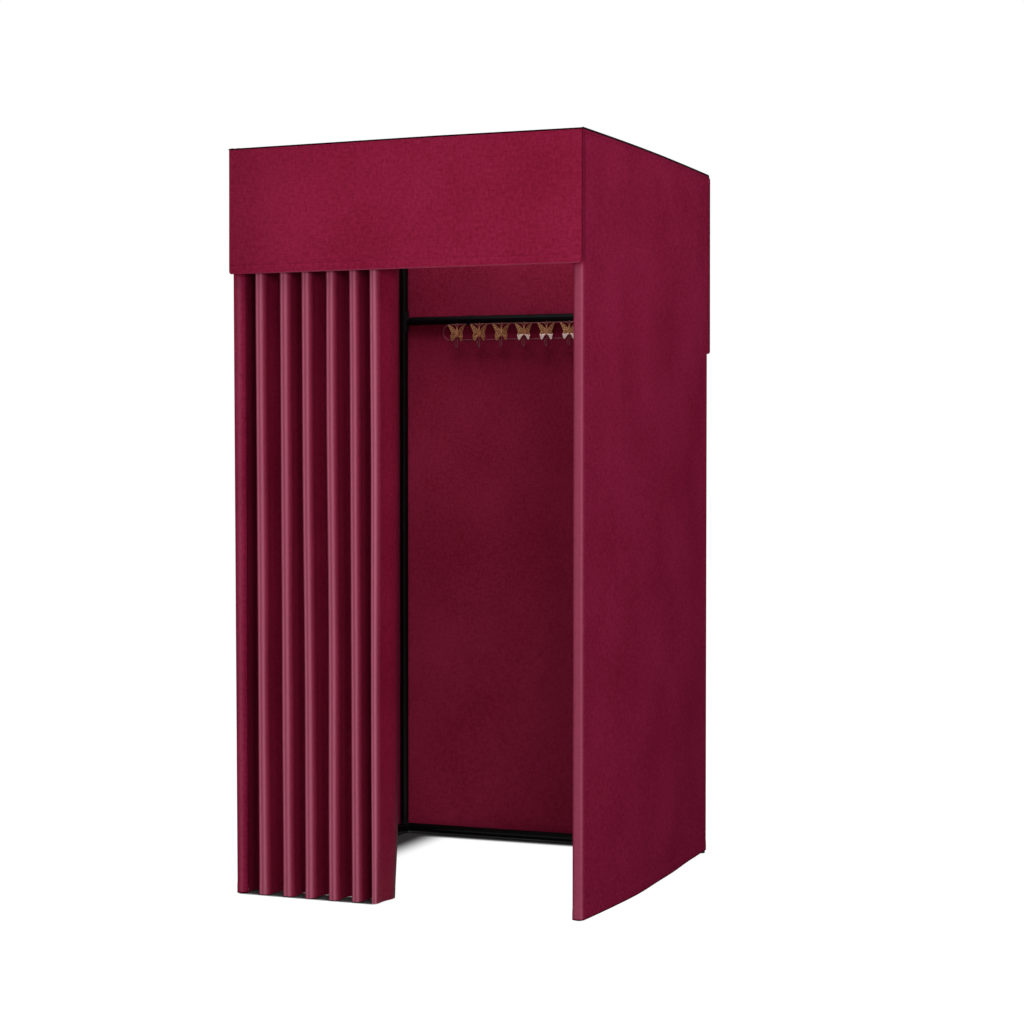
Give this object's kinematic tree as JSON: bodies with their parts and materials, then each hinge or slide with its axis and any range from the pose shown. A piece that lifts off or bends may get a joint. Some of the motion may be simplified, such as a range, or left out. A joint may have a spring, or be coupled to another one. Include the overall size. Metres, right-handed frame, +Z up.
{
  "type": "portable fitting room",
  "caption": "Free-standing changing booth: black tube frame with burgundy cloth walls, a valance, a ring-hung pleated curtain and a wire rack of butterfly coat hooks.",
  "frame": {"origin": "on the floor under the middle of the booth, at the bottom centre of the bounding box", "axes": "+Z up, the doorway faces -Y, +X is the right-hand side seen from the doorway"},
  "size_m": [1, 1.09, 2],
  "materials": {
    "cover_cloth": "matt woven polyester, burgundy",
    "curtain_cloth": "woven polyester with a soft pinkish sheen",
    "black_frame": "satin black powder coat",
    "black_plastic": "fine matt black",
    "rubber": "matt black",
    "black_clip": "satin black spring strip",
    "gilt": "antique gold plating",
    "rose_wire": "rose gold plating",
    "ring_steel": "bright zinc plating"
  },
  "bodies": {
    "frame": {"post_front_left": "black_frame", "post_front_right": "black_frame", "post_back_left": "black_frame", "post_back_right": "black_frame", "top_rail_front": "black_frame", "top_rail_back": "black_frame", "top_rail_left": "black_frame", "top_rail_right": "black_frame", "bottom_rail_left": "black_frame", "bottom_rail_right": "black_frame", "bottom_rail_back": "black_frame", "hook_bar": "black_frame", "curtain_rod": "black_frame", "top_hub_front_left": "black_plastic", "top_hub_front_right": "black_plastic", "top_hub_back_left": "black_plastic", "top_hub_back_right": "black_plastic", "bottom_hub_front_left": "black_plastic", "bottom_hub_front_right": "black_plastic", "bottom_hub_back_left": "black_plastic", "bottom_hub_back_right": "black_plastic", "foot_front_left": "rubber", "foot_front_right": "rubber", "foot_back_left": "rubber", "foot_back_right": "rubber", "bar_bracket_left": "black_plastic", "bar_bracket_right": "black_plastic", "rod_bracket_left": "black_plastic", "rod_bracket_right": "black_plastic", "side_panel_left": "cover_cloth", "side_panel_right": "cover_cloth", "back_panel": "cover_cloth", "front_valance": "cover_cloth", "back_valance": "cover_cloth", "rack_wire": "rose_wire", "rack_clip_left": "black_clip", "rack_clip_right": "black_clip", "butterfly_hook_1": "gilt", "butterfly_hook_2": "gilt", "butterfly_hook_3": "gilt", "butterfly_hook_4": "gilt", "butterfly_hook_5": "gilt", "butterfly_hook_6": "gilt", "butterfly_hook_7": "gilt", "butterfly_hook_8": "gilt", "butterfly_hook_9": "gilt", "curtain_ring_0": "ring_steel"},
    "ring_1": {"curtain_ring_1": "ring_steel", "curtain_pleat_1": "curtain_cloth"},
    "ring_2": {"curtain_ring_2": "ring_steel", "curtain_pleat_2": "curtain_cloth"},
    "ring_3": {"curtain_ring_3": "ring_steel", "curtain_pleat_3": "curtain_cloth"},
    "ring_4": {"curtain_ring_4": "ring_steel", "curtain_pleat_4": "curtain_cloth"},
    "ring_5": {"curtain_ring_5": "ring_steel", "curtain_pleat_5": "curtain_cloth"},
    "ring_6": {"curtain_ring_6": "ring_steel", "curtain_pleat_6": "curtain_cloth"}
  },
  "joints": [
    {"name": "curtain_slide_1", "type": "slide", "parent": "frame", "child": "ring_1", "axis": [1, 0, 0], "range_m": [-0.03, 0.086], "deforming": ["curtain_pleat_1"]},
    {"name": "curtain_slide_2", "type": "slide", "parent": "ring_1", "child": "ring_2", "axis": [1, 0, 0], "range_m": [-0.03, 0.086], "deforming": ["curtain_pleat_2"]},
    {"name": "curtain_slide_3", "type": "slide", "parent": "ring_2", "child": "ring_3", "axis": [1, 0, 0], "range_m": [-0.03, 0.086], "deforming": ["curtain_pleat_3"]},
    {"name": "curtain_slide_4", "type": "slide", "parent": "ring_3", "child": "ring_4", "axis": [1, 0, 0], "range_m": [-0.03, 0.086], "deforming": ["curtain_pleat_4"]},
    {"name": "curtain_slide_5", "type": "slide", "parent": "ring_4", "child": "ring_5", "axis": [1, 0, 0], "range_m": [-0.03, 0.086], "deforming": ["curtain_pleat_5"]},
    {"name": "curtain_slide_6", "type": "slide", "parent": "ring_5", "child": "ring_6", "axis": [1, 0, 0], "range_m": [-0.03, 0.086], "deforming": ["curtain_pleat_6"]}
  ],
  "couplings": [
    {"joint": "curtain_slide_2", "follows": "curtain_slide_1", "ratio": 1},
    {"joint": "curtain_slide_3", "follows": "curtain_slide_1", "ratio": 1},
    {"joint": "curtain_slide_4", "follows": "curtain_slide_1", "ratio": 1},
    {"joint": "curtain_slide_5", "follows": "curtain_slide_1", "ratio": 1},
    {"joint": "curtain_slide_6", "follows": "curtain_slide_1", "ratio": 1}
  ]
}
